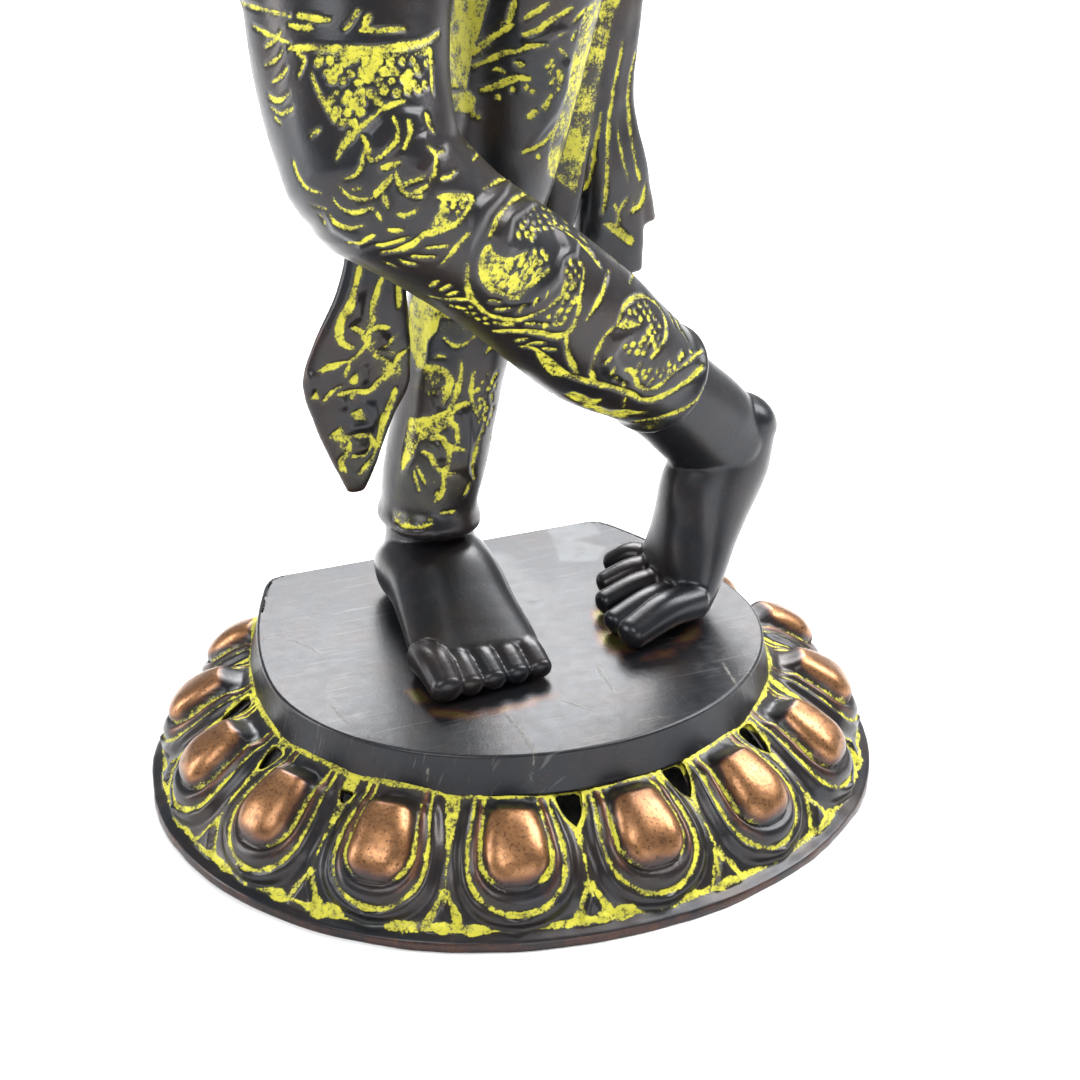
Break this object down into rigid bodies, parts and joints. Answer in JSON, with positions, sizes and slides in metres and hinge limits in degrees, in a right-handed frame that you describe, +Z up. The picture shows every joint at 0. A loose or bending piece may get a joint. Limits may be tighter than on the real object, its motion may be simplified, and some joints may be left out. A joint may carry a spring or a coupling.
{
  "type": "maya devi figure",
  "caption": "Hollow cast brass statue of a standing woman, legs crossed and an arm raised to a bough, fixed on an oval pierced lotus plinth; stands on a shelf or in a shrine.",
  "frame": {"origin": "on the ground, at the middle of the plinth's foot", "axes": "+X is the figure's left, she faces -Y, and +Z is up"},
  "size_m": [0.24, 0.2212, 0.6916],
  "materials": {
    "figure_brass": "brown-black patina with a satin sheen, rubbed to copper on high spots, yellow pigment in the recesses of the cloth",
    "plinth_brass": "dark satin patina on the slab, petals rubbed to copper, yellow pigment in the grooves"
  },
  "bodies": {
    "root": {"figure": "figure_brass", "lotus_plinth": "plinth_brass"}
  },
  "joints": []
}
